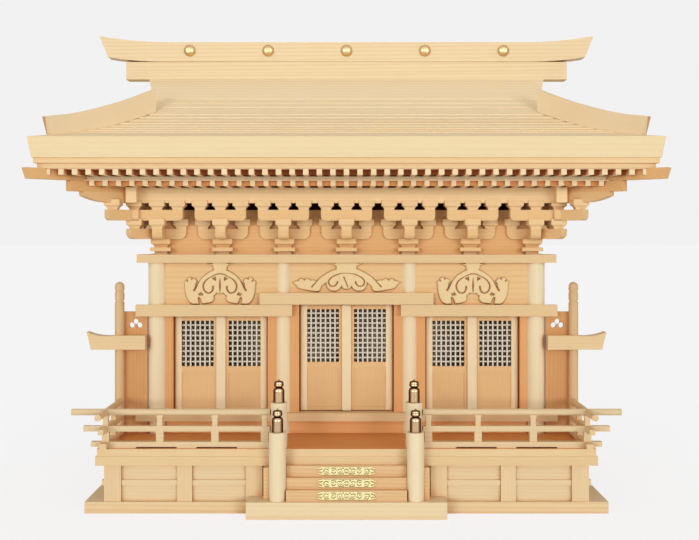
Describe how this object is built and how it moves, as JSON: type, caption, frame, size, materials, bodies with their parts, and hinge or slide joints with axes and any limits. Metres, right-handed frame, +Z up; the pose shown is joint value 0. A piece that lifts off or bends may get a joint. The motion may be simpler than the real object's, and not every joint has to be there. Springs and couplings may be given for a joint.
{
  "type": "kamidana household shrine",
  "caption": "Wooden household shrine with hip-and-gable roof, bracketed eaves, veranda with railing, stair and pairs of hinged lattice doors.",
  "frame": {"origin": "centre of the overall plan box, on the surface the shrine stands on", "axes": "+X to the right as seen from the front, -Y to the front, +Z up"},
  "size_m": [0.7112, 0.4064, 0.566],
  "materials": {
    "cypress": "planed, unfinished",
    "lattice_cypress": "planed, unfinished",
    "gilt": "polished"
  },
  "bodies": {
    "shrine": {"base_plate": "cypress", "base_rafters": "cypress", "bracket_arms": "cypress", "bracket_bases": "cypress", "bracket_blocks": "cypress", "carvings": "cypress", "ceiling_board": "cypress", "columns": "cypress", "corner_rafters": "cypress", "door_heads": "cypress", "door_jambs": "cypress", "eave_fascia": "cypress", "eave_purlins": "cypress", "eave_strips": "cypress", "floor_board": "cypress", "flying_rafters": "cypress", "frieze_boards": "cypress", "gable_walls": "cypress", "head_tie_beams": "cypress", "hip_ridges": "cypress", "inner_floor": "cypress", "lintel_beams": "cypress", "newel_caps": "gilt", "newel_posts": "cypress", "outer_walls": "cypress", "rafter_bearers": "cypress", "railing_front_left": "cypress", "railing_front_right": "cypress", "railing_side_left": "cypress", "railing_side_right": "cypress", "ridge_base_board": "cypress", "ridge_cap_board": "cypress", "ridge_studs": "gilt", "rim_beams": "cypress", "riser_boards": "cypress", "roof_lower": "cypress", "roof_upper": "cypress", "side_screen_beams": "cypress", "side_screen_panels": "cypress", "side_screen_posts": "cypress", "sill_beams": "cypress", "skirt_panels": "cypress", "skirt_posts": "cypress", "stair_base_plate": "cypress", "stair_cheeks": "cypress", "stair_steps": "cypress", "step_fittings": "gilt", "transom_boards": "cypress"},
    "left_bay_right_door": {"door_left_bay_right_leaf": "lattice_cypress"},
    "left_bay_left_door": {"door_left_bay_left_leaf": "lattice_cypress"},
    "centre_bay_right_door": {"door_centre_bay_right_leaf": "lattice_cypress"},
    "centre_bay_left_door": {"door_centre_bay_left_leaf": "lattice_cypress"},
    "right_bay_right_door": {"door_right_bay_right_leaf": "lattice_cypress"},
    "right_bay_left_door": {"door_right_bay_left_leaf": "lattice_cypress"}
  },
  "joints": [
    {"name": "left_bay_right_hinge", "type": "hinge", "parent": "shrine", "child": "left_bay_right_door", "pos_m": [-0.0981, -0.0712, 0.16], "axis": [0, 0, 1], "range_deg": [0, 90]},
    {"name": "left_bay_left_hinge", "type": "hinge", "parent": "shrine", "child": "left_bay_left_door", "pos_m": [-0.2067, -0.0712, 0.16], "axis": [0, 0, -1], "range_deg": [0, 90]},
    {"name": "centre_bay_right_hinge", "type": "hinge", "parent": "shrine", "child": "centre_bay_right_door", "pos_m": [0.0543, -0.0712, 0.16], "axis": [0, 0, 1], "range_deg": [0, 90]},
    {"name": "centre_bay_left_hinge", "type": "hinge", "parent": "shrine", "child": "centre_bay_left_door", "pos_m": [-0.0543, -0.0712, 0.16], "axis": [0, 0, -1], "range_deg": [0, 90]},
    {"name": "right_bay_right_hinge", "type": "hinge", "parent": "shrine", "child": "right_bay_right_door", "pos_m": [0.2067, -0.0712, 0.16], "axis": [0, 0, 1], "range_deg": [0, 90]},
    {"name": "right_bay_left_hinge", "type": "hinge", "parent": "shrine", "child": "right_bay_left_door", "pos_m": [0.0981, -0.0712, 0.16], "axis": [0, 0, -1], "range_deg": [0, 90]}
  ],
  "couplings": [
    {"joint": "left_bay_left_hinge", "follows": "left_bay_right_hinge", "ratio": 1},
    {"joint": "centre_bay_left_hinge", "follows": "centre_bay_right_hinge", "ratio": 1},
    {"joint": "right_bay_left_hinge", "follows": "right_bay_right_hinge", "ratio": 1}
  ]
}
